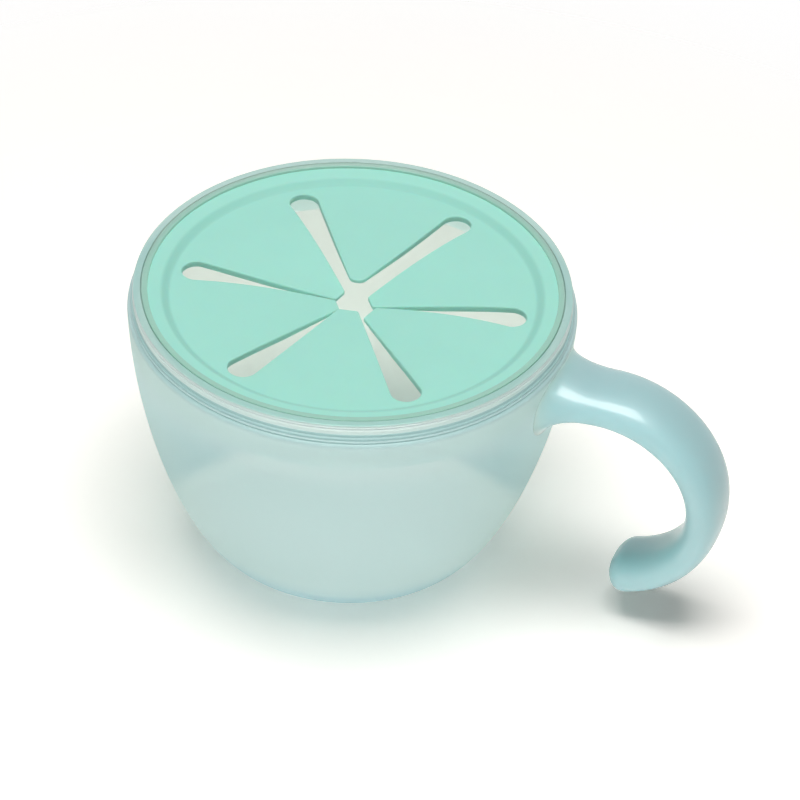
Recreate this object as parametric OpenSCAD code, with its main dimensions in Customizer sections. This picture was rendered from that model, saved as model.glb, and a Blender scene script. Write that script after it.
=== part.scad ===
// Toddler snack cup: a round bowl with one hook handle and a lift-off lid.
// The lid is a clear ring that holds a soft, dished skin. Six slits part the
// skin into petals, which bend down and up to let a small hand in and out.
// Origin: centre of the foot, on the surface that the cup stands on.
// +Z is up and +X points along the handle. All sizes are in millimetres.

/* [Bowl] */
// Outer radius of the bowl at its shoulder, just under the rim
mouth_r = 55.3; // [53:0.1:62]
// Height of the shoulder above the table
shoulder_h = 69; // [62:0.5:80]
// Thickness of the side wall
wall = 2; // [1.6:0.1:2.6]
// Thickness of the floor above the hollow of the foot
floor_t = 2; // [1.6:0.1:3]
// Outer radius of the foot ring
foot_r = 34.2; // [30:0.1:38]
// Height of the foot ring
foot_h = 0.9; // [0.7:0.1:1.4]
// Width of the foot ring
foot_w = 3; // [2:0.1:5]
// Width of the ledge between the foot ring and the heel
foot_ledge = 0.6; // [0.3:0.1:1]
// Pull of the heel's curve: a longer pull makes a rounder, fuller heel
heel_pull = 6.4; // [5:0.1:8]
// Slope of the heel where it leaves the foot, in degrees
heel_slope = 6; // [2:1:14]
// Pull of the side's curve below the shoulder
side_pull = 34; // [26:0.5:40]
// Outward lean of the side at the shoulder, in degrees
side_lean = 1.6; // [0:0.1:3]

/* [Rim] */
// Height of the rim above the shoulder
rim_h = 2.5; // [2.2:0.1:3.5]
// How far the rim band stands in from the shoulder
rim_step = 1; // [0.8:0.1:1.4]
// Thickness of the rim band, out to its face
rim_wall = 1.4; // [1.2:0.1:1.6]
// Radius of the bead round the foot of the rim band
bead_r = 0.45; // [0.35:0.05:0.55]
// Depth of the straight bore that the lid's skirt drops into
bore_depth = 12.2; // [12:0.1:13]
// Depth of the snap groove in that bore
groove_depth = 0.2; // [0.1:0.05:0.3]

/* [Handle] */
// Depth of the arm's middle line below the shoulder, at its crest
arm_drop = 6.7; // [6.4:0.1:9]
// Clearance between the lowest point of the hook and the table
hook_lift = 5.8; // [3:0.1:8]
// Distance from the shoulder out to the centre of the hook
hook_out = 14.2; // [12:0.2:18]
// Angle above +X at which the straight arm meets the hook
arm_angle = 95; // [90:1:100]
// Angle at which the tip of the hook ends
tip_angle = -82; // [-90:1:-50]
// Thickness of the arm, across the hook's curve
arm_t = 9.2; // [8:0.1:11]
// Thickness of the grip at the far side of the hook
grip_t = 8.9; // [8:0.1:11]
// Thickness of the tip
tip_t = 10; // [8.5:0.1:12]
// Width of the arm
arm_w = 18.8; // [15:0.1:20]
// Width of the tip
tip_w = 17.5; // [14:0.1:20]
// Squareness of the section: 2 is an ellipse
section_power = 2.35; // [2:0.05:3]
// Length over which the arm flares into the bowl
flare_len = 13; // [10:0.5:16]
// Flare added above the arm, at the shoulder
flare_up = 2.6; // [1:0.1:3.4]
// Flare added below the arm, at the shoulder
flare_down = 5.8; // [1:0.1:7]
// Flare added to each side of the arm's width, at the shoulder
flare_w = 3; // [1:0.1:4]

/* [Lid ring] */
// Running gap between the lid's skirt and the bore
fit_gap = 0.2; // [0.15:0.05:0.4]
// Height of the ring above the rim
ring_h = 2.7; // [2.5:0.1:3.6]
// How far the ring's edge stands in from the rim band
ring_inset = 0.3; // [0:0.1:0.6]
// Rounding of the ring's upper edge
ring_edge_r = 0.7; // [0.4:0.1:0.9]
// Height of the fine step round the ring, above the rim
step_h = 1.5; // [1:0.1:1.7]
// Depth of that step
step_in = 0.15; // [0.1:0.05:0.3]
// Length of the skirt below the rim
skirt_h = 11.5; // [8:0.1:11.8]
// Thickness of the skirt
skirt_t = 1.5; // [1.2:0.1:2]
// Lead-in chamfer at the skirt's lower edge
skirt_chamfer = 0.4; // [0.2:0.1:0.6]
// Height of the snap bead, above the skirt's lower edge
snap_up = 1.8; // [1.4:0.1:2.4]
// How far the snap bead stands proud of the skirt
snap_proud = 0.1; // [0.05:0.05:0.1]
// Half height of the snap bead
snap_half = 0.7; // [0.4:0.1:0.9]
// Width of the wall between the skin's edge and the skirt's face
pocket_wall = 1.2; // [1:0.1:1.6]
// Thickness of the lip over the skin's edge
lip_t = 0.8; // [0.6:0.1:1]
// How far the lip reaches in over the skin's edge
lip_w = 1.2; // [0.8:0.1:2]
// Rounding of the lip's edge
lip_edge_r = 0.3; // [0.2:0.05:0.35]
// Thickness of the shelf under the skin's edge
shelf_t = 0.9; // [0.7:0.1:1.2]

/* [Skin] */
// Thickness of the skin's clamped edge
flange_t = 2; // [1.6:0.1:2.2]
// Thickness of the skin's floor and petals
skin_t = 1.8; // [1.2:0.1:2]
// Depth of the skin's floor below the top of the ring
dish_drop = 2.7; // [2.2:0.1:3.2]
// Width of the sloping wall round the floor
dish_w = 5.1; // [4.5:0.1:6]
// Width of that wall's upper, gentle part, in from the ring's lip
brow_w = 3.4; // [2:0.1:4]
// Drop of the skin over that gentle part
brow_drop = 0.6; // [0.3:0.1:0.9]
// Distance from the floor's edge in to the middle of a slit's round end
slit_margin = 5.8; // [5:0.1:8.5]
// Radius of a slit's round end
slit_end_r = 3.7; // [3:0.1:4.6]
// Half width of a slit at its neck
slit_neck_r = 0.7; // [0.4:0.1:1]
// Distance of the neck from the middle of the skin
slit_neck_at = 5; // [4:0.1:7]
// Radius of the hole in the middle, between the petals' tips
hub_hole_r = 3.7; // [2.5:0.1:5]
// Turn of the first slit from the handle, in degrees
slit_turn = 12; // [0:0.5:59.5]
// How far a petal folds down, in degrees
fold_down = 60; // [30:1:70]

/* [Hidden] */
$fn = 120;

petal_count = 6;
sector = 360 / petal_count;
overcut = 1;

// Colours
cup_blue = [0.70, 0.84, 0.84];
ring_blue = [0.74, 0.87, 0.86];
skin_mint = [0.64, 0.89, 0.83];

// Bowl and rim
rim_r = mouth_r - rim_step;
rim_top = shoulder_h + rim_h;
bore_r = rim_r - rim_wall;
bore_foot = rim_top - bore_depth;
foot_lift = foot_h;
shoulder_r = 0.35;
neck_h = 0.3;
rim_edge_r = 0.3;
side_steps = 28;

// Handle
hook_r = (shoulder_h - arm_drop - hook_lift - tip_t / 2) / 2;
hook_x = mouth_r + hook_out;
hook_z = shoulder_h - arm_drop - hook_r;
root_sink = 5;
arm_steps = 9;
hook_steps = 26;
ring_points = 36;
tip_angles = [0, 18, 36, 52, 66, 78, 86];

// Lid ring
ring_r = rim_r - ring_inset;
ring_top = rim_top + ring_h;
skirt_r = bore_r - fit_gap;
skirt_foot = rim_top - skirt_h;
snap_z = skirt_foot + snap_up;
flange_r = skirt_r - pocket_wall;
lip_r = flange_r - lip_w;
lip_under = ring_top - lip_t;
flange_foot = lip_under - flange_t;

// Skin
dish_r = lip_r - dish_w;
dish_top = ring_top - dish_drop;
slit_reach = dish_r - slit_margin;
hinge_r = slit_reach * cos(sector / 2);
relief_angle = fold_down / 2 + 1;
relief_w = skin_t * tan(relief_angle);

// Points of an arc about a centre, from one angle to another
function arc(centre, r, from, to, steps) =
    [for (i = [0:steps]) centre + r * unit(from + (to - from) * i / steps)];

// Unit vector at an angle
function unit(angle) = [cos(angle), sin(angle)];

// Point of a cubic curve with four control points
function cubic(p, t) =
    pow(1 - t, 3) * p[0] + 3 * pow(1 - t, 2) * t * p[1]
    + 3 * (1 - t) * t * t * p[2] + t * t * t * p[3];

// Smooth change from a to b while u goes from 0 to 1
function ease(a, b, u) =
    a + (b - a) * (1 - cos(180 * max(0, min(1, u)))) / 2;

// Control points of the bowl's side, from the heel up to the shoulder
heel = [foot_r + foot_ledge, foot_h];
shoulder = [mouth_r, shoulder_h];
outer_side = [heel, heel + heel_pull * unit(heel_slope),
              shoulder - side_pull * [sin(side_lean), cos(side_lean)], shoulder];
// The inner side is the outer one, moved up by the floor and in by the wall
inner_shift = [[-wall, floor_t], [-wall, floor_t], [-wall, 0], [-wall, 0]];
inner_side = outer_side + inner_shift;

function side_points(side) = [for (i = [0:side_steps]) cubic(side, i / side_steps)];

// Section of the bowl's outside, from the foot up over the rim
module bowl_outline() {
    bead_z = shoulder_h + shoulder_r + neck_h + bead_r;
    polygon(concat(
        [[0, foot_lift], [foot_r - foot_w, foot_lift], [foot_r - foot_w, 0],
         [foot_r, 0], [foot_r, foot_h]],
        side_points(outer_side),
        arc([mouth_r - shoulder_r, shoulder_h], shoulder_r, 15, 90, 4),
        [[rim_r, shoulder_h + shoulder_r]],
        arc([rim_r, bead_z], bead_r, -90, 90, 8),
        arc([rim_r - rim_edge_r, rim_top - rim_edge_r], rim_edge_r, 0, 90, 4),
        [[0, rim_top]]
    ));
}

// Section of the hollow, with the straight bore for the lid above it
module hollow_outline() {
    intersection() {
        polygon(concat([[0, heel[1] + floor_t]], side_points(inner_side), [[0, shoulder_h]]));
        square([mouth_r, bore_foot]);
    }
    translate([0, bore_foot]) square([bore_r, bore_depth + overcut]);
    polygon([[bore_r - overcut, snap_z - snap_half], [bore_r, snap_z - snap_half],
             [bore_r + groove_depth, snap_z], [bore_r, snap_z + snap_half],
             [bore_r - overcut, snap_z + snap_half]]);
}

module cup() {
    color(cup_blue) rotate_extrude() difference() {
        bowl_outline();
        hollow_outline();
    }
}

// Hook: distance s runs along its middle line, from 0 where the arm meets the
// curve. It is negative on the arm.
arm_start = [hook_x, hook_z] + hook_r * unit(arm_angle);
arm_run = [sin(arm_angle), -cos(arm_angle)];
s_root = (mouth_r - root_sink - arm_start[0]) / arm_run[0];
s_wall = (mouth_r - arm_start[0]) / arm_run[0];
s_bend = hook_r * arm_angle * PI / 180;
s_tip = hook_r * (arm_angle - tip_angle) * PI / 180;

function hook_angle(s) = arm_angle - max(0, s) / hook_r * 180 / PI;
function hook_middle(s) =
    [hook_x, hook_z] + hook_r * unit(hook_angle(s)) + min(0, s) * arm_run;
function flare(s) = pow(max(0, min(1, 1 - (s - s_wall) / flare_len)), 3);
function hook_half_t(s) = (s < s_bend ? ease(arm_t, grip_t, s / s_bend)
                  : ease(grip_t, tip_t, (s - s_bend) / (s_tip - s_bend))) / 2;
function hook_half_w(s) = flare_w * flare(s) + ease(arm_w, tip_w, s / s_tip) / 2;

// Signed power, which squares off a section
function soft(v) = sign(v) * pow(abs(v), 2 / section_power);

// One ring of points round the hook's middle line
function hook_ring(s, shrink) =
    let (m = hook_middle(s), n = unit(hook_angle(s)), t = hook_half_t(s),
         up = shrink * (t + flare_up * flare(s)), down = shrink * (t + flare_down * flare(s)),
         b = shrink * hook_half_w(s))
    [for (i = [0:ring_points - 1])
        let (q = 360 * i / ring_points, u = (cos(q) > 0 ? up : down) * soft(cos(q)))
        [m[0] + u * n[0], b * soft(sin(q)), m[1] + u * n[1]]];

// Solid through a list of rings that all have the same number of points
module loft(rings) {
    last = len(rings) - 1;
    n = len(rings[0]);
    sides = [for (k = [0:last - 1], i = [0:n - 1])
        let (j = (i + 1) % n, p = k * n + i, q = k * n + j)
        each [[p, q, q + n], [p, q + n, p + n]]];
    caps = [[for (i = [0:n - 1]) n - 1 - i], [for (i = [0:n - 1]) last * n + i]];
    polyhedron([for (ring = rings) each ring], concat(sides, caps));
}

module handle() {
    cap = tip_t / 2;
    body_end = s_tip - cap;
    arm = [for (i = [0:arm_steps]) hook_ring(s_root * (1 - i / arm_steps), 1)];
    curve = [for (i = [1:hook_steps - 1]) hook_ring(body_end * i / hook_steps, 1)];
    tip = [for (q = tip_angles) hook_ring(body_end + cap * sin(q), pow(cos(q), 0.85))];
    color(cup_blue) difference() {
        loft(concat(arm, curve, tip));
        rotate_extrude() bowl_outline();
    }
}

module lid_ring() {
    skirt_in = skirt_r - skirt_t;
    step_z = rim_top + step_h;
    top_r = ring_r - step_in - ring_edge_r;
    color(ring_blue) rotate_extrude() polygon(concat(
        [[skirt_r, rim_top], [ring_r, rim_top], [ring_r, step_z], [ring_r - step_in, step_z]],
        arc([top_r, ring_top - ring_edge_r], ring_edge_r, 0, 90, 6),
        arc([lip_r + lip_edge_r, ring_top - lip_edge_r], lip_edge_r, 90, 180, 4),
        [[lip_r, lip_under], [flange_r, lip_under], [flange_r, flange_foot],
         [lip_r, flange_foot], [lip_r, flange_foot - shelf_t],
         [skirt_in, flange_foot - shelf_t - (skirt_in - lip_r)],
         [skirt_in, skirt_foot], [skirt_r - skirt_chamfer, skirt_foot],
         [skirt_r, skirt_foot + skirt_chamfer], [skirt_r, snap_z - snap_half],
         [skirt_r + snap_proud, snap_z], [skirt_r, snap_z + snap_half]]
    ));
}

// One tapered slit, along +X from the middle of the skin
module slit_outline() {
    taper = asin((slit_end_r - slit_neck_r) / (slit_reach - slit_neck_at));
    side = unit(90 + taper);
    neck = [slit_neck_at, 0] + slit_neck_r * side;
    end = [slit_reach, 0] + slit_end_r * side;
    translate([slit_reach, 0]) circle(slit_end_r);
    polygon([[0, -neck[1]], [neck[0], -neck[1]], [end[0], -end[1]],
             end, neck, [0, neck[1]]]);
}

// All slits and the hole where they meet
module star_outline() {
    circle(hub_hole_r);
    for (k = [0:petal_count - 1]) rotate(slit_turn + k * sector) slit_outline();
}

module star_cut() {
    translate([0, 0, dish_top - skin_t - overcut])
        linear_extrude(skin_t + 2 * overcut) star_outline();
}

// Block over one petal, from the middle of the skin out to its hinge line.
// The hinge line is the upper edge, and lean slopes the face below it.
module petal_block(k, lean, up, down) {
    half_w = slit_reach * sin(sector / 2);
    rotate(slit_turn + (k - 0.5) * sector) translate([0, half_w, dish_top]) rotate([90, 0, 0])
        linear_extrude(2 * half_w) polygon([
            [0, up], [hinge_r, up], [hinge_r, 0],
            [hinge_r + lean * (skin_t + down) / skin_t, -skin_t - down], [0, -skin_t - down]
        ]);
}

// Plan of one petal, between the middles of its two slits
module sector_plan(k) {
    translate([0, 0, dish_top - skin_t]) linear_extrude(skin_t) polygon(concat(
        [[0, 0]],
        [for (e = [k - 1, k]) slit_reach * unit(slit_turn + e * sector)]
    ));
}

module petal(k) {
    color(skin_mint) difference() {
        intersection() {
            sector_plan(k);
            petal_block(k, -relief_w, 0, 0);
        }
        star_cut();
    }
}

module trap_rim() {
    color(skin_mint) difference() {
        rotate_extrude() polygon([
            [0, dish_top - skin_t], [dish_r, dish_top - skin_t], [lip_r, flange_foot],
            [flange_r, flange_foot], [flange_r, lip_under], [lip_r, lip_under],
            [lip_r - brow_w, lip_under - brow_drop], [dish_r, dish_top], [0, dish_top]
        ]);
        for (k = [1:petal_count]) petal_block(k, relief_w, overcut, overcut);
        star_cut();
    }
}

cup();
handle();
lid_ring();
trap_rim();
petal(1);  // petal_1
petal(2);  // petal_2
petal(3);  // petal_3
petal(4);  // petal_4
petal(5);  // petal_5
petal(6);  // petal_6
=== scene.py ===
from math import asin, atan2, cos, degrees, hypot, pi, radians, sin, sqrt, tan
import bmesh
import bpy
from mathutils import Matrix, Vector


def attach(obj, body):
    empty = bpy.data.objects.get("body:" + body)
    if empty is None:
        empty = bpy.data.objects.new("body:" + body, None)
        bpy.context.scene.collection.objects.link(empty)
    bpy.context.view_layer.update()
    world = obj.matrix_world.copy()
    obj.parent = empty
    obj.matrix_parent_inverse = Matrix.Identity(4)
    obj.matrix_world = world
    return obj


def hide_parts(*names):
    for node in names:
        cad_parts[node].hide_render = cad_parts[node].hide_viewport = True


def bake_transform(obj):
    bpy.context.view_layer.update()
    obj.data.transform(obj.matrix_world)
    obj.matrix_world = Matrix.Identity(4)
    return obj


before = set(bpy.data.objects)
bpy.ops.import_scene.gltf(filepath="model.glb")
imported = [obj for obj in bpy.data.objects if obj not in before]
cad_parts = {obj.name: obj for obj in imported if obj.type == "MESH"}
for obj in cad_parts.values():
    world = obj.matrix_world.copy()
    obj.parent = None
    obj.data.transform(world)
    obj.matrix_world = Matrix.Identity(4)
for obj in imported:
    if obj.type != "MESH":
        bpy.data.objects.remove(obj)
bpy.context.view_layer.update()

# A toddler's snack cup: a frosted bowl with a hook handle, and a lid whose
# ring holds a soft skin with six slits. Sizes are in millimetres and become
# metres when a mesh is made. The cup stands on z = 0 and the hook is along +X.
MM = 0.001

# Bowl
MOUTH_R, SHOULDER_H, WALL, FLOOR_T = 55.3, 69.0, 2.0, 2.0
FOOT_R, FOOT_H, FOOT_W, FOOT_LEDGE = 34.2, 0.9, 3.0, 0.6
HEEL_PULL, HEEL_SLOPE = 6.4, 6.0
SIDE_PULL, SIDE_LEAN = 34.0, 1.6

# Rim
RIM_TOP = SHOULDER_H + 2.5
RIM_R = MOUTH_R - 1.0
BORE_R = RIM_R - 1.4
BORE_FOOT = RIM_TOP - 12.2
RIM_FACE_R = RIM_R - 0.35              # the rim's face, set back under the ring
# Two beads round the rim: the radius and height of their middle, and their size
BEADS = ((RIM_R, SHOULDER_H + 0.7, 0.28), (RIM_R - 0.05, SHOULDER_H + 1.5, 0.17))

# Hook handle
ARM_DROP, HOOK_LIFT, HOOK_OUT = 6.7, 5.8, 14.2
ARM_ANGLE, TIP_ANGLE = 95.0, -82.0
ARM_T, GRIP_T, TIP_T = 9.2, 8.9, 10.0
ARM_W, TIP_W = 18.8, 17.5
SECTION_POWER = 2.35
FLARE_LEN, FLARE_UP, FLARE_DOWN, FLARE_W = 13.0, 2.6, 5.8, 3.0
FILLET = 2.2                           # the tight end of the flare, at the bowl's wall

# Lid ring
RING_TOP = RIM_TOP + 2.7
RING_R = RIM_R - 0.3
EDGE_IN = 0.15                         # the ring's upper edge, set back from its foot
SKIRT_R = BORE_R - 0.2
SKIRT_IN = SKIRT_R - 1.5
SKIRT_FOOT = RIM_TOP - 11.5
SNAP_Z, SNAP_HALF = SKIRT_FOOT + 1.8, 0.7
FLANGE_R = SKIRT_R - 1.2
LIP_R = FLANGE_R - 1.2
GROOVE_R = LIP_R + 1.6                 # a fine groove round the lip
LIP_UNDER = RING_TOP - 0.8
FLANGE_FOOT = LIP_UNDER - 2.0
SHELF_FOOT = FLANGE_FOOT - 0.9

# Soft skin
SKIN_T = 1.8
DISH_R = LIP_R - 5.1
DISH_TOP = RING_TOP - 2.7
BROW_R, BROW_DROP = LIP_R - 3.4, 0.6   # where the skin's slope steepens
SLIT_REACH, SLIT_END_R = DISH_R - 5.8, 3.7
SLIT_NECK_AT, SLIT_NECK_R = 5.0, 0.7
SLIT_TURN = 12.0
PETALS = 6
HALF_SECTOR = 180 / PETALS
HINGE_R = SLIT_REACH * cos(radians(HALF_SECTOR))
SEAM_R = 44.5          # where the petals' skin meets the rim's, on the flat floor
EDGE_R = 0.35          # rounding of the slits' upper edges
BEND = 12.0            # length over which a petal bends, in from its hinge
TIP_THIN = 1.1         # thickness of the skin at the petals' tips
# Each petal: how far its tip lies from the middle of the skin, how far it rests
# above the floor, its twist in mm of rise per mm of width, and its corners' radius
PETAL_SHAPES = {
    1: (4.5, -3.6, 0.11, 0.6), 2: (3.9, 1.3, -0.01, 2.0), 3: (4.1, -2.7, -0.20, 0.6),
    4: (4.0, -2.5, -0.11, 0.7), 5: (5.9, -0.6, 0.04, 0.9), 6: (5.5, -3.0, 0.14, 0.7)}

# The camera stands this far round from the front, towards the hook
VIEW_TURN = 21.2

TURN_FACETS = 192
RING_POINTS = 72
PETAL_COLUMNS = 24
SHARP = 35             # edges sharper than this many degrees stay crisp


def unit(angle):
    """The direction at an angle in degrees."""
    return Vector((cos(radians(angle)), sin(radians(angle))))


def cubic(p, t):
    """The point at a share t of a curve with four control points."""
    s = 1 - t
    return s ** 3 * p[0] + 3 * s * s * t * p[1] + 3 * s * t * t * p[2] + t ** 3 * p[3]


def ease(a, b, u):
    """From a to b as u goes from 0 to 1, level at both ends."""
    return a + (b - a) * (1 - cos(pi * max(0, min(1, u)))) / 2


# ---------------------------------------------------------------- meshes

def piece(name, points, faces):
    """A mesh object from points in millimetres, smooth but for its sharp edges."""
    mesh = bpy.data.meshes.new(name)
    mesh.from_pydata([Vector(p) * MM for p in points], [], faces)
    mesh.validate()
    made = bpy.data.objects.new(name, mesh)
    bpy.context.scene.collection.objects.link(made)
    mesh.shade_smooth()
    mesh.set_sharp_from_angle(angle=radians(SHARP))
    return made


def rounded(outline, steps=5):
    """A closed outline of (r, z) or (r, z, radius): a radius rounds the corner."""
    out = []
    for i, (r, z, *radius) in enumerate(outline):
        here = Vector((r, z))
        if not radius:
            out.append(here)
            continue
        back = (Vector(outline[i - 1][:2]) - here).normalized()
        on = (Vector(outline[(i + 1) % len(outline)][:2]) - here).normalized()
        half = back.angle(on) / 2
        centre = here + (back + on).normalized() * radius[0] / sin(half)
        start = here + back * radius[0] / tan(half) - centre
        end = here + on * radius[0] / tan(half) - centre
        first = atan2(start.y, start.x)
        sweep = (atan2(end.y, end.x) - first + pi) % (2 * pi) - pi
        for k in range(steps + 1):
            angle = first + sweep * k / steps
            out.append(centre + radius[0] * Vector((cos(angle), sin(angle))))
    return out


def turned(name, outline, facets=TURN_FACETS, start=0.0):
    """A solid of revolution about Z from a closed outline of (r, z)."""
    points, rings = [], []
    for p in outline:
        if p.x < 1e-6:
            rings.append([len(points)] * facets)
            points.append((0, 0, p.y))
            continue
        rings.append(range(len(points), len(points) + facets))
        for k in range(facets):
            d = unit(start + 360 * k / facets)
            points.append((p.x * d.x, p.x * d.y, p.y))
    faces = []
    for i, low in enumerate(rings):
        high = rings[(i + 1) % len(rings)]
        for k in range(facets):
            j = (k + 1) % facets
            face = list(dict.fromkeys((low[k], low[j], high[j], high[k])))
            if len(face) > 2:
                faces.append(face)
    made = piece(name, points, faces)
    normals = made.modifiers.new("flat faces stay flat", "WEIGHTED_NORMAL")
    normals.keep_sharp = True
    return made


# ---------------------------------------------------------------- bowl

HEEL = Vector((FOOT_R + FOOT_LEDGE, FOOT_H))
SHOULDER = Vector((MOUTH_R, SHOULDER_H))
LEAN = Vector((sin(radians(SIDE_LEAN)), cos(radians(SIDE_LEAN))))
OUTER_SIDE = [HEEL, HEEL + HEEL_PULL * unit(HEEL_SLOPE), SHOULDER - SIDE_PULL * LEAN, SHOULDER]
INNER_SIDE = [p + Vector((-WALL, FLOOR_T if i < 2 else 0)) for i, p in enumerate(OUTER_SIDE)]


def side(curve, steps=56):
    """The bowl's side in profile, from its heel up to its shoulder."""
    return [cubic(curve, i / steps) for i in range(steps + 1)]


def outer_radius(z):
    """Outer radius of the bowl at a height, found by halving."""
    low, high = 0.0, 1.0
    for _ in range(40):
        mid = (low + high) / 2
        low, high = (mid, high) if cubic(OUTER_SIDE, mid).y < z else (low, mid)
    return cubic(OUTER_SIDE, low).x


def bowl():
    """Foot ring, side, shoulder and beaded rim, then the bore and the inside."""
    inner = [p for p in side(INNER_SIDE) if p.y < BORE_FOOT - 0.2]
    foot_in = FOOT_R - FOOT_W
    outline = rounded(
        [(0, FOOT_H), (foot_in, FOOT_H, 0.35), (foot_in, 0, 0.3), (FOOT_R, 0, 0.4),
         (FOOT_R, FOOT_H, 0.2)]
        + [tuple(p) for p in side(OUTER_SIDE) if p.y < SHOULDER_H - 0.6]
        + [(MOUTH_R, SHOULDER_H + 0.3, 0.75), (RIM_R - 0.1, SHOULDER_H + 0.3, 0.06)]
        + [tuple(Vector((r, z)) + bead * unit(a)) for r, z, bead in BEADS for a in range(-90, 91, 18)]
        + [(RIM_FACE_R, SHOULDER_H + 1.8, 0.06), (RIM_FACE_R, RIM_TOP, 0.15), (BORE_R, RIM_TOP, 0.3),
           (BORE_R, SNAP_Z + SNAP_HALF), (BORE_R + 0.2, SNAP_Z, 0.3), (BORE_R, SNAP_Z - SNAP_HALF),
           (BORE_R, BORE_FOOT), (inner[-1].x + 0.02, BORE_FOOT)]
        + [tuple(p) for p in reversed(inner)]
        + [(0, HEEL.y + FLOOR_T)])
    return turned("bowl", outline)


# ---------------------------------------------------------------- hook

HOOK_R = (SHOULDER_H - ARM_DROP - HOOK_LIFT - TIP_T / 2) / 2
HOOK_CENTRE = Vector((MOUTH_R + HOOK_OUT, SHOULDER_H - ARM_DROP - HOOK_R))
# The arm runs straight to ARM_START, where distances along the hook begin
ARM_START = HOOK_CENTRE + HOOK_R * unit(ARM_ANGLE)
ARM_RUN = Vector((sin(radians(ARM_ANGLE)), -cos(radians(ARM_ANGLE))))
S_WALL = (MOUTH_R - ARM_START.x) / ARM_RUN.x
S_BEND = HOOK_R * radians(ARM_ANGLE)
S_TIP = HOOK_R * radians(ARM_ANGLE - TIP_ANGLE)


def hook_point(s, q, flare=0.0, shrink=1.0):
    """A point of the hook's surface: distance s along it, angle q round it."""
    angle = ARM_ANGLE - degrees(max(0, s) / HOOK_R)
    middle = HOOK_CENTRE + HOOK_R * unit(angle) + min(0, s) * ARM_RUN
    bend = (s - S_BEND) / (S_TIP - S_BEND)
    half_t = (ease(ARM_T, GRIP_T, s / S_BEND) if s < S_BEND else ease(GRIP_T, TIP_T, bend)) / 2
    half_w = ease(ARM_W, TIP_W, s / S_TIP) / 2 + FLARE_W * flare
    u, v = unit(q)
    soft = 2 / SECTION_POWER
    half_t += (FLARE_UP if u > 0 else FLARE_DOWN) * flare
    up = shrink * half_t * (abs(u) ** soft) * (1 if u > 0 else -1)
    out = shrink * half_w * (abs(v) ** soft) * (1 if v > 0 else -1)
    place = middle + up * unit(angle)
    return Vector((place.x, out, place.y))


def root_point(distance, q):
    """A point of the flared root, at a distance from the bowl's wall."""
    near = 1 - distance / FLARE_LEN
    # a gentle flare that ends in a tight fillet, square to the wall
    tight = 1 - sqrt(1 - max(0, 1 - distance / FILLET) ** 2)
    flare = 0.9 * near ** 3 + 0.25 * tight
    s = S_WALL + distance
    for _ in range(6):                     # each round brings the point closer
        p = hook_point(s, q, flare)
        wall = sqrt(outer_radius(min(p.z, SHOULDER_H)) ** 2 - p.y ** 2)
        s += (MOUTH_R + (wall - MOUTH_R) * near + distance - p.x) / ARM_RUN.x
    return p


def hook():
    """Rings of points from the bowl's wall through the flare, along the arm
    and the bend, and over the rounded tip."""
    angles = [360 * i / RING_POINTS for i in range(RING_POINTS)]
    # distances from the wall, close together where the fillet is tight
    root = [-0.25, 0, 0.05, 0.15, 0.3, 0.5, 0.8, 1.2, 1.7, 2.3, 3, 4, 5, 6.2, 7.5, 9, 10.5, 12]
    rings = [[root_point(max(0, d), q) + Vector((min(0, d), 0, 0)) for q in angles] for d in root]
    cap = TIP_T / 2
    body_end = S_TIP - cap
    first = S_WALL + FLARE_LEN + 0.3
    body_rings, cap_rings = 56, 10
    rings += [[hook_point(first + (body_end - first) * i / body_rings, q) for q in angles]
              for i in range(body_rings)]
    for i in range(cap_rings):
        sweep = 88 * i / (cap_rings - 1)
        rings.append([hook_point(body_end + cap * sin(radians(sweep)), q,
                                 shrink=cos(radians(sweep)) ** 0.85) for q in angles])
    points = [p for ring in rings for p in ring]
    n = RING_POINTS
    faces = [(k * n + i, k * n + (i + 1) % n, (k + 1) * n + (i + 1) % n, (k + 1) * n + i)
             for k in range(len(rings) - 1) for i in range(n)]
    faces += [list(range(n))[::-1], [len(points) - n + i for i in range(n)]]
    return piece("hook_handle", points, faces)


# ---------------------------------------------------------------- lid ring

def lid_ring():
    """Foot band, fine steps, grooved lip, shelf and skirt with its snap bead."""
    outline = rounded([
        (SKIRT_R, RIM_TOP, 0.1), (RING_R, RIM_TOP, 0.2), (RING_R, RIM_TOP + 1.15, 0.25),
        (RING_R - 0.4, RIM_TOP + 1.35, 0.06), (RING_R - 0.02, RIM_TOP + 1.6, 0.12),
        (RING_R - 0.02, RIM_TOP + 1.95, 0.12), (RING_R - 0.3, RIM_TOP + 2.1, 0.05),
        (RING_R - EDGE_IN, RIM_TOP + 2.25, 0.06), (RING_R - EDGE_IN, RING_TOP, 0.28),
        (GROOVE_R + 0.17, RING_TOP, 0.08), (GROOVE_R + 0.05, RING_TOP - 0.55, 0.04),
        (GROOVE_R - 0.05, RING_TOP - 0.55, 0.04), (GROOVE_R - 0.17, RING_TOP, 0.08),
        (LIP_R, RING_TOP, 0.3), (LIP_R, LIP_UNDER, 0.12), (FLANGE_R, LIP_UNDER),
        (FLANGE_R, FLANGE_FOOT), (LIP_R, FLANGE_FOOT), (LIP_R, SHELF_FOOT, 0.2),
        (SKIRT_IN, SHELF_FOOT - (SKIRT_IN - LIP_R), 0.3), (SKIRT_IN, SKIRT_FOOT, 0.3),
        (SKIRT_R, SKIRT_FOOT, 0.4), (SKIRT_R, SNAP_Z - SNAP_HALF), (SKIRT_R + 0.1, SNAP_Z, 0.3),
        (SKIRT_R, SNAP_Z + SNAP_HALF)])
    return turned("clear_ring", outline)


# ---------------------------------------------------------------- soft skin

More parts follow.
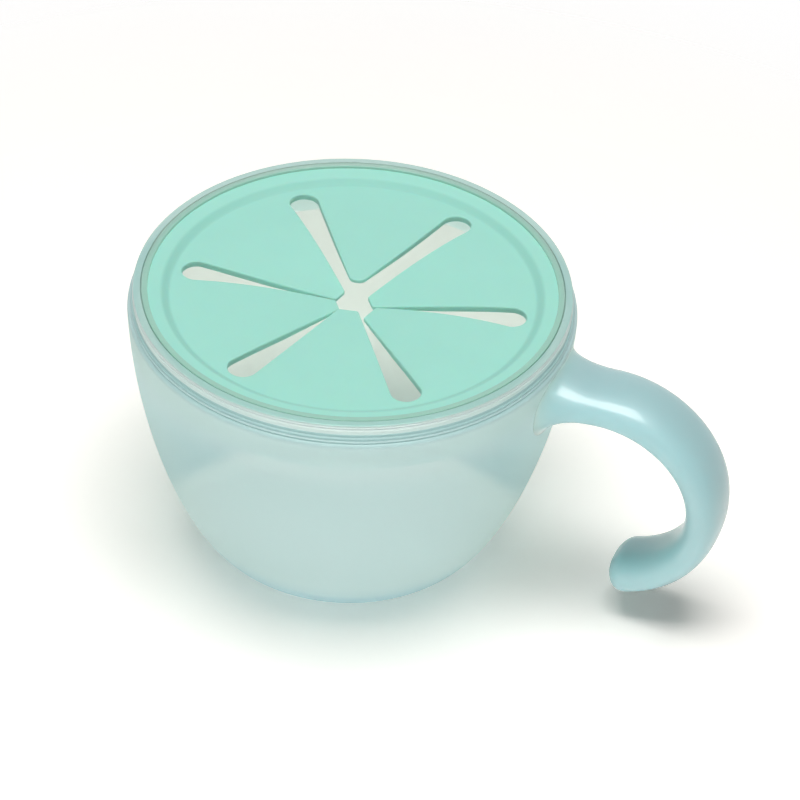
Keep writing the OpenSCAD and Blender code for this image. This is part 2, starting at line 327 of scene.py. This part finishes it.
def skin_rim():
    """The skin outside the petals: flat floor, sloping wall and clamped edge."""
    outline = rounded([
        (SEAM_R, DISH_TOP - SKIN_T), (DISH_R, DISH_TOP - SKIN_T, 2.0), (LIP_R, FLANGE_FOOT),
        (FLANGE_R, FLANGE_FOOT), (FLANGE_R, LIP_UNDER), (LIP_R, LIP_UNDER, 0.3),
        (BROW_R, LIP_UNDER - BROW_DROP, 2.5), (DISH_R, DISH_TOP, 2.0),
        (SEAM_R, DISH_TOP)])
    return turned("skin_rim", outline, PETALS * PETAL_COLUMNS, SLIT_TURN)


def petal_angle(k):
    """Where the middle line of petal k points, in degrees from the hook."""
    return SLIT_TURN + (k - 0.5) * 2 * HALF_SECTOR


def petal_border(gap, corner_r):
    """One side of a petal, from its blunt tip to the seam: pairs of a point
    just inside the rounded edge, and the way out of the petal there. The
    petal's middle is along +X and its slit lies on the positive side."""
    taper = asin((SLIT_END_R - SLIT_NECK_R) / (SLIT_REACH - SLIT_NECK_AT))
    wedge = radians(HALF_SECTOR) - taper
    to_slit = Matrix.Rotation(radians(HALF_SECTOR), 2)
    # the slit's straight side, on the petal's side of it
    out = Vector((-sin(wedge), cos(wedge)))
    neck = to_slit @ Vector((SLIT_NECK_AT, 0)) - SLIT_NECK_R * out
    apex = neck.x - neck.y / tan(wedge)
    corner = Vector((gap + corner_r, 0))
    corner.y = (corner.x - apex) * tan(wedge) - corner_r / cos(wedge)
    tip_steps, corner_steps, side_steps, end_steps = 4, 8, 30, 12
    border = [(Vector((gap + EDGE_R, corner.y * i / tip_steps)), Vector((-1, 0)))
              for i in range(tip_steps)]
    for i in range(corner_steps + 1):
        n = unit(180 - (90 - degrees(wedge)) * i / corner_steps)
        border.append((corner + (corner_r - EDGE_R) * n, n))
    end_centre = to_slit @ Vector((SLIT_REACH, 0))
    line_end = end_centre - (SLIT_END_R + EDGE_R) * out
    line_start = border[-1][0]
    border += [(line_start.lerp(line_end, i / side_steps), out) for i in range(1, side_steps)]
    first = atan2(-out.y, -out.x)
    last = radians(HALF_SECTOR)
    for i in range(end_steps + 1):
        angle = first + (last - first) * i / end_steps
        n = -Vector((cos(angle), sin(angle)))
        border.append((end_centre - (SLIT_END_R + EDGE_R) * n, n))
    return border


def petal_skin(k):
    """Petal k as it hangs: a thinning sheet with rounded edges at its slits."""
    gap, tip_rise, twist, corner_r = PETAL_SHAPES[k]
    border = petal_border(gap, corner_r)
    end_r = border[-1][0].length
    for r in ((end_r + SEAM_R) / 2, SEAM_R):
        border.append((r * unit(HALF_SECTOR), Vector((0, 0))))
    turn = Matrix.Rotation(radians(petal_angle(k)), 2)
    droop_r = HINGE_R + 2                  # where the petal leaves the flat
    points = []

    def point(p, depth):
        """A point of the petal at a share of the skin's depth, as it hangs."""
        t = max(0, min(1, (droop_r - p.x) / (droop_r - gap)))
        thick = SKIN_T + (TIP_THIN - SKIN_T) * max(0, 2 * t - 1)
        rise = tip_rise * t * t * (1.4 - 0.4 * t) + twist * p.y * t
        placed = turn @ p
        points.append((placed.x, placed.y, DISH_TOP + rise - thick * depth))
        return len(points) - 1

    def surface(depth):
        rows = []
        for p, _ in border:
            r, half = p.length, atan2(p.y, p.x)
            rows.append([point(r * unit(degrees(half - 2 * half * j / PETAL_COLUMNS)), depth)
                         for j in range(PETAL_COLUMNS + 1)])
        return rows

    top, bottom = surface(0), surface(1)
    faces = []
    for i in range(len(border) - 1):
        for j in range(PETAL_COLUMNS):
            faces.append((top[i][j], top[i + 1][j], top[i + 1][j + 1], top[i][j + 1]))
            faces.append((bottom[i][j], bottom[i][j + 1], bottom[i + 1][j + 1], bottom[i + 1][j]))
    # the rounded edges and the wall between them, on each side
    upper_edge, lower_edge = (22, 45, 68, 90), (90, 45)
    for column, mirror in ((0, 1), (-1, -1)):
        levels = [[row[column] for row in top]]
        for i, angle in enumerate(upper_edge + lower_edge):
            grow, fall = EDGE_R * sin(radians(angle)), EDGE_R * (1 - cos(radians(angle)))
            depth = fall / SKIN_T if i < len(upper_edge) else 1 - fall / SKIN_T
            levels.append([point(Vector(((p + grow * n).x, mirror * (p + grow * n).y)), depth)
                           for p, n in border])
        levels.append([row[column] for row in bottom])
        for upper, lower in zip(levels, levels[1:]):
            for i in range(len(border) - 1):
                face = (upper[i], lower[i], lower[i + 1], upper[i + 1])
                faces.append(face if mirror > 0 else face[::-1])
    # the seam's face, on the rim's side
    for j in range(PETAL_COLUMNS):
        faces.append((top[-1][j], bottom[-1][j], bottom[-1][j + 1], top[-1][j + 1]))
    made = piece(f"petal_skin_{k}", points, [f for f in faces if len(set(f)) > 2])
    weld(made)
    return made


def weld(made):
    """Joins points that lie on each other and makes all faces look outwards."""
    work = bmesh.new()
    work.from_mesh(made.data)
    bmesh.ops.remove_doubles(work, verts=work.verts, dist=1e-7)
    bmesh.ops.recalc_face_normals(work, faces=work.faces)
    work.to_mesh(made.data)
    work.free()
    made.data.shade_smooth()
    made.data.set_sharp_from_angle(angle=radians(SHARP))


# ---------------------------------------------------------------- finishes

def srgb(red, green, blue):
    """A colour in linear light from 0-255 screen values."""
    def linear(v):
        v /= 255
        return v / 12.92 if v <= 0.04045 else ((v + 0.055) / 1.055) ** 2.4
    return (linear(red), linear(green), linear(blue), 1)


class Wire:
    """A socket of a material's nodes. Sums and products add Math nodes."""

    def __init__(self, tree, socket=None):
        self.tree, self.socket = tree, socket

    def node(self, kind, settings=(), inputs=(), output=0):
        made = self.tree.nodes.new(kind)
        for name, value in dict(settings).items():
            setattr(made, name, value)
        for name, value in dict(inputs).items():
            if isinstance(value, Wire):
                self.tree.links.new(value.socket, made.inputs[name])
            else:
                made.inputs[name].default_value = value
        return Wire(self.tree, made.outputs[output] if len(made.outputs) else None)

    def maths(self, operation, *values):
        return self.node("ShaderNodeMath", {"operation": operation}, enumerate(values))

    def __add__(self, other):
        return self.maths("ADD", self, other)

    def __sub__(self, other):
        return self.maths("SUBTRACT", self, other)

    def __mul__(self, other):
        return self.maths("MULTIPLY", self, other)

    def __rsub__(self, other):
        return self.maths("SUBTRACT", other, self)

    __radd__, __rmul__ = __add__, __mul__


def nodes_of(owner):
    """A clean node tree of a material or the world."""
    owner.use_nodes = True
    owner.node_tree.nodes.clear()
    return Wire(owner.node_tree)


def finish(name):
    made = bpy.data.materials.new(name)
    return made, nodes_of(made)


def noise(tree, size, detail):
    """Noise with features of a size in millimetres, from 0 to 1."""
    spot = tree.node("ShaderNodeTexCoord", output=3)
    return tree.node("ShaderNodeTexNoise", inputs={
        "Vector": spot, "Scale": 1 / (size * MM), "Detail": detail, "Roughness": 0.5})


def mix(tree, amount, first, second):
    """Colour between two others."""
    return tree.node("ShaderNodeMix", {"data_type": "RGBA"}, {0: amount, 6: first, 7: second}, 2)


def bump(tree, height, strength, depth):
    """A normal from a height of 0 to 1, over a depth in millimetres."""
    return tree.node("ShaderNodeBump", inputs={
        "Height": height, "Strength": strength, "Distance": depth * MM})


def where(tree):
    """Distance from the cup's axis and height above the table, in millimetres."""
    spot = tree.node("ShaderNodeTexCoord", output=3)
    x, y, z = (tree.node("ShaderNodeSeparateXYZ", inputs={0: spot}, output=i) for i in range(3))
    return tree.maths("SQRT", x * x + y * y) * (1 / MM), z * (1 / MM)


def past(tree, value, low, high):
    """0 below low, 1 above high and a soft step between them."""
    return tree.node("ShaderNodeMapRange", {"interpolation_type": "SMOOTHSTEP"},
                     {0: value, 1: low, 2: high})


def ray(tree, kind):
    """What the Light Path node says of the ray that is being shaded."""
    path = tree.node("ShaderNodeLightPath").socket.node
    return Wire(tree.tree, path.outputs[kind])


def hook_plastic():
    """Frosted plastic in a thick moulding: milky inside, waxy and a little wavy."""
    made, tree = finish("frosted_hook_plastic")
    cloud = noise(tree, 18, 2)
    peel, wave = noise(tree, 0.9, 1), noise(tree, 11, 0)
    shader = tree.node("ShaderNodeBsdfPrincipled", inputs={
        "Base Color": mix(tree, cloud, srgb(158, 194, 196), srgb(155, 192, 195)),
        "Roughness": 0.4, "IOR": 1.75,
        "Subsurface Weight": 1.0, "Subsurface Scale": 0.018, "Subsurface Radius": (0.7, 1, 1),
        "Coat Weight": 0.5, "Coat Roughness": 0.05,
        "Normal": bump(tree, wave + 0.01 * peel, 1.0, 0.4)})
    tree.node("ShaderNodeOutputMaterial", inputs={"Surface": shader})
    return made


def wall_plastic(name, paint, seen, coat=0.2, coat_rough=0.25, through=0.25):
    """Frosted plastic in a thin wall: it scatters one colour back and lets
    another be seen through it. paint gives the first colour and the share that
    is seen through. Its back faces are clear, so that a wall frosts what lies
    behind it once, and a share of the lamps' light goes straight through."""
    made, tree = finish(name)
    colour, see = paint(tree)
    skin = bump(tree, noise(tree, 0.9, 1), 0.15, 0.02)
    scatter = tree.node("ShaderNodeBsdfPrincipled", inputs={
        "Base Color": colour, "Roughness": 0.4, "IOR": 1.45,
        "Coat Weight": coat, "Coat Roughness": coat_rough, "Normal": skin})
    glimpse = tree.node("ShaderNodeBsdfRefraction", inputs={
        "Color": seen, "Roughness": 0.3, "IOR": 1.1, "Normal": skin})
    glow = tree.node("ShaderNodeBsdfTranslucent", inputs={"Color": seen, "Normal": skin})
    passed = tree.node("ShaderNodeMixShader", inputs={0: 0.2, 1: glimpse, 2: glow})
    wall = tree.node("ShaderNodeMixShader", inputs={0: see, 1: scatter, 2: passed})
    clear = tree.node("ShaderNodeBsdfTransparent", inputs={"Color": (0.985, 0.99, 0.98, 1)})
    back = tree.node("ShaderNodeNewGeometry").socket.node.outputs["Backfacing"]
    share = tree.maths("MAXIMUM", Wire(tree.tree, back), through * ray(tree, "Is Shadow Ray"))
    wall = tree.node("ShaderNodeMixShader", inputs={0: share, 1: wall, 2: clear})
    tree.node("ShaderNodeOutputMaterial", inputs={"Surface": wall})
    return made


def cup_paint(tree):
    """Blue-white walls, bluer at the foot and paler where the lid's skirt stands behind them,
    which is painted light, and a denser rim with painted shade under the lid ring and on its lower
    step."""
    _, z = where(tree)
    rim = past(tree, z, SHOULDER_H - 1.5, SHOULDER_H + 0.3)
    # painted shade: the rim darkens under the lid ring's overhang and on its lower step
    shade = past(tree, z, SHOULDER_H + 0.95, SHOULDER_H + 1.1) + 0.6 * (
        1 - past(tree, z, SHOULDER_H + 0.35, SHOULDER_H + 0.5))
    # painted light: the walls are paler in the band where the lid's skirt stands behind them
    behind = past(tree, z, 52.0, 66.0)
    foot = 1 - past(tree, z, 1.5, 14.0)
    walls = mix(tree, noise(tree, 18, 2), srgb(202, 236, 246), srgb(199, 234, 244))
    walls = mix(tree, foot, walls, srgb(180, 217, 226))
    walls = mix(tree, behind, walls, srgb(220, 238, 240))
    rims = mix(tree, shade, srgb(190, 217, 217), srgb(155, 190, 190))
    return mix(tree, rim, walls, rims), 0.7 - 0.42 * rim - 0.4 * foot - 0.14 * behind


def inner_paint(tree):
    """The inside of the bowl's side, a little warmer than its outside."""
    return mix(tree, noise(tree, 18, 2), srgb(214, 234, 237), srgb(211, 231, 234)), 0.7


def floor_paint(tree):
    """The inside of the bowl's floor, which scatters most of its light back. Its near-white,
    warm colour is painted light, for the light that comes through the floor.
    """
    return mix(tree, noise(tree, 18, 2), srgb(250, 240, 232), srgb(248, 238, 230)), 0.05


def ring_paint(tree):
    """Denser above the rim, paler on its outer face and palest on its foot band, which is painted
    light for the glow through the ring, sage over the skin's edge, darkened with painted shade,
    painted shade in the groove, and clear in the skirt."""
    r, z = where(tree)
    top = past(tree, z, LIP_UNDER - 0.1, LIP_UNDER)
    # the sage lip: the skin's edge seen through the ring, darkened with painted shade
    lip = top * (1 - past(tree, r, GROOVE_R - 0.1, GROOVE_R))
    # painted shade down the fine groove round the lip
    groove = top * past(tree, r, GROOVE_R - 0.22, GROOVE_R - 0.1) * (
        1 - past(tree, r, GROOVE_R + 0.1, GROOVE_R + 0.22))
    # painted light: the outer face is paler than the top, and its foot band palest, for the glow
    # through the ring
    face = 1 - past(tree, z, RING_TOP - 0.2, RING_TOP - 0.05)
    foot = 1 - past(tree, z, RIM_TOP + 1.1, RIM_TOP + 1.3)
    skirt = 1 - past(tree, z, RIM_TOP - 0.2, RIM_TOP)
    ring = mix(tree, face, srgb(162, 202, 197), srgb(188, 201, 201))
    ring = mix(tree, foot, ring, srgb(208, 225, 222))
    ring = mix(tree, lip, ring, srgb(150, 190, 177))
    ring = mix(tree, groove, ring, srgb(125, 165, 155))
    return mix(tree, skirt, ring, srgb(238, 243, 240)), 0.2 + 0.65 * skirt


def cup_plastic():
    return wall_plastic("frosted_cup_plastic", cup_paint, srgb(231, 247, 251))


def inner_plastic():
    return wall_plastic("frosted_cup_inner_plastic", inner_paint, srgb(229, 235, 228))


# the floor's near-white, warm colour is painted light
def floor_plastic():
    return wall_plastic("frosted_cup_floor_plastic", floor_paint, srgb(252, 254, 248))


def ring_plastic():
    return wall_plastic("translucent_ring_plastic", ring_paint, srgb(240, 250, 244),
                        coat=0.8, coat_rough=0.12, through=0.9)


def skin_rubber():
    """Matte, soft elastomer with a very fine tooth, darker with painted shade where its
    slope meets its floor. It is thin enough to pass a share of the lamps' light."""
    made, tree = finish("matte_mint_skin")
    cloud = noise(tree, 9, 3)
    tooth = noise(tree, 0.25, 2)
    r, _ = where(tree)
    # painted shade where the skin's slope meets its floor
    fold_shade = past(tree, r, DISH_R - 0.6, DISH_R + 0.2) * (1 - past(tree, r, BROW_R - 0.4, BROW_R + 0.6))
    colour = mix(tree, cloud, srgb(165, 227, 212), srgb(161, 224, 209))
    rubber = tree.node("ShaderNodeBsdfPrincipled", inputs={
        "Base Color": mix(tree, fold_shade, colour, srgb(153, 214, 200)),
        "Roughness": 0.62 + 0.1 * (tooth - 0.5),
        "IOR": 1.42, "Sheen Weight": 0.1, "Sheen Roughness": 0.5,
        "Subsurface Weight": 0.2, "Subsurface Scale": 0.001,
        "Normal": bump(tree, tooth, 0.12, 0.02)})
    clear = tree.node("ShaderNodeBsdfTransparent", inputs={"Color": srgb(246, 245, 241)})
    shader = tree.node("ShaderNodeMixShader",
                       inputs={0: 0.75 * ray(tree, "Is Shadow Ray"), 1: rubber, 2: clear})
    tree.node("ShaderNodeOutputMaterial", inputs={"Surface": shader})
    return made


def unlit(tree):
    """1 on rays that see the background itself: straight, mirrored or through.
    Rays that have left a matte surface see the real light instead."""
    seen = ray(tree, "Is Camera Ray") + ray(tree, "Is Glossy Ray") + ray(tree, "Is Transmission Ray")
    matte = tree.maths("MINIMUM", ray(tree, "Diffuse Depth"), 1.0)
    return tree.maths("MINIMUM", seen, 1.0) * (1 - matte)


# ---------------------------------------------------------------- studio

def white_world(horizon, zenith):
    """A soft tent of light, brighter at the horizon than overhead, that is plain
    white to rays that see it."""
    world = bpy.data.worlds.new("studio")
    bpy.context.scene.world = world
    tree = nodes_of(world)
    way = tree.node("ShaderNodeTexCoord")
    up = tree.node("ShaderNodeSeparateXYZ", inputs={0: way}, output=2)
    light = horizon + (zenith - horizon) * tree.maths("MAXIMUM", up, 0.0)
    strength = light + (1 - light) * unlit(tree)
    back = tree.node("ShaderNodeBackground", inputs={"Color": (1, 1, 1, 1), "Strength": strength})
    tree.node("ShaderNodeOutputWorld", inputs={"Surface": back})


def floor():
    """A pale table that fades into the white background away from the cup."""
    half = 3000
    made = piece("floor", [(-half, -half, 0), (half, -half, 0), (half, half, 0), (-half, half, 0)],
                 [(0, 1, 2, 3)])
    pale, tree = finish("pale_floor")
    seen = unlit(tree)
    r, _ = where(tree)
    # the first colour lights the cup from below, and the second is what is seen
    colour = mix(tree, seen, (0.85, 0.85, 0.85, 1), (1.36, 1.31, 1.25, 1))
    matte = tree.node("ShaderNodeBsdfDiffuse", inputs={"Color": colour})
    clear = tree.node("ShaderNodeBsdfTransparent")
    table = tree.node("ShaderNodeMixShader", inputs={
        0: seen * past(tree, r, 140, 300), 1: matte, 2: clear})
    tree.node("ShaderNodeOutputMaterial", inputs={"Surface": table})
    made.data.materials.append(pale)


def soft_lamp(name, spot, aim, width, height, power, mirrored=True):
    """A softbox, in metres and watts. Its spot turns with the camera, whose side
    is at -Y, and one that isn't mirrored leaves no streak on glossy pieces."""
    lamp = bpy.data.lights.new(name, "AREA")
    lamp.shape, lamp.size, lamp.size_y, lamp.energy = "RECTANGLE", width, height, power
    made = bpy.data.objects.new(name, lamp)
    made.location = Matrix.Rotation(radians(VIEW_TURN), 3, "Z") @ Vector(spot)
    made.visible_glossy = mirrored
    made.rotation_euler = (Vector(aim) - made.location).to_track_quat("-Z", "Y").to_euler()
    bpy.context.scene.collection.objects.link(made)


def camera():
    """A long lens that looks down at the cup, with the hook on the right."""
    turn = Matrix.Rotation(radians(VIEW_TURN), 3, "Z")
    tilt, roll, away = radians(39.5), radians(2.76), 0.734
    shift_across, shift_up = -0.01138, 0.02806
    forward, up, right = (Vector((0, cos(tilt), -sin(tilt))), Vector((0, sin(tilt), cos(tilt))),
                          Vector((1, 0, 0)))
    across = cos(roll) * right + sin(roll) * up
    upright = cos(roll) * up - sin(roll) * right
    aim = Vector((0, 0, 0.074))
    data = bpy.data.cameras.new("camera")
    data.lens, data.sensor_width = 135, 36
    made = bpy.data.objects.new("camera", data)
    made.location = aim - turn @ (shift_across * across + shift_up * upright + away * forward)
    made.rotation_euler = Matrix((turn @ across, turn @ upright, -(turn @ forward))
                                 ).transposed().to_euler()
    bpy.context.scene.collection.objects.link(made)
    bpy.context.scene.camera = made


# ---------------------------------------------------------------- the cup

def place(made, body, node, slot, material):
    """Puts a piece on a body, in place of the node that it dresses."""
    made.data.materials.append(material)
    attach(made, body)
    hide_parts(node)


def finish_inside(cup):
    """Gives the inside of the bowl's floor and side finishes of their own."""
    cup.data.materials.append(floor_plastic())
    cup.data.materials.append(inner_plastic())
    floor_low, floor_high, floor_r = 2.0 * MM, 6.0 * MM, 36.5 * MM
    for face in cup.data.polygons:
        middle, normal = face.center, face.normal
        if floor_low < middle.z < floor_high and hypot(middle.x, middle.y) < floor_r:
            face.material_index = 1
        elif middle.z < BORE_FOOT * MM and middle.x * normal.x + middle.y * normal.y < 0:
            face.material_index = 2


cup = bowl()
place(cup, "cup", "cup", "cup_plastic", cup_plastic())
finish_inside(cup)
place(hook(), "cup", "handle", "cup_plastic", hook_plastic())
place(lid_ring(), "lid", "lid_ring", "ring_plastic", ring_plastic())
rubber = skin_rubber()
place(skin_rim(), "lid", "trap_rim", "soft_skin", rubber)
for k in range(1, PETALS + 1):
    made = petal_skin(k)
    made.data.materials.append(rubber)
    way = unit(petal_angle(k))
    ends = [(r * MM * way.x, r * MM * way.y, DISH_TOP * MM) for r in (HINGE_R, HINGE_R - BEND)]
    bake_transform(made)
    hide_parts(f"petal_{k}")

white_world(horizon=0.36, zenith=0.05)
floor()
soft_lamp("overhead_softbox", (0.0, -0.06, 0.85), (0, 0, 0.05), width=0.6, height=0.43, power=5.5)
soft_lamp("front_softbox", (-0.04, -0.7, 0.06), (0, 0, 0.04), width=0.45, height=0.11, power=2.2,
          mirrored=False)
camera()
bpy.context.scene.view_settings.view_transform = "Standard"
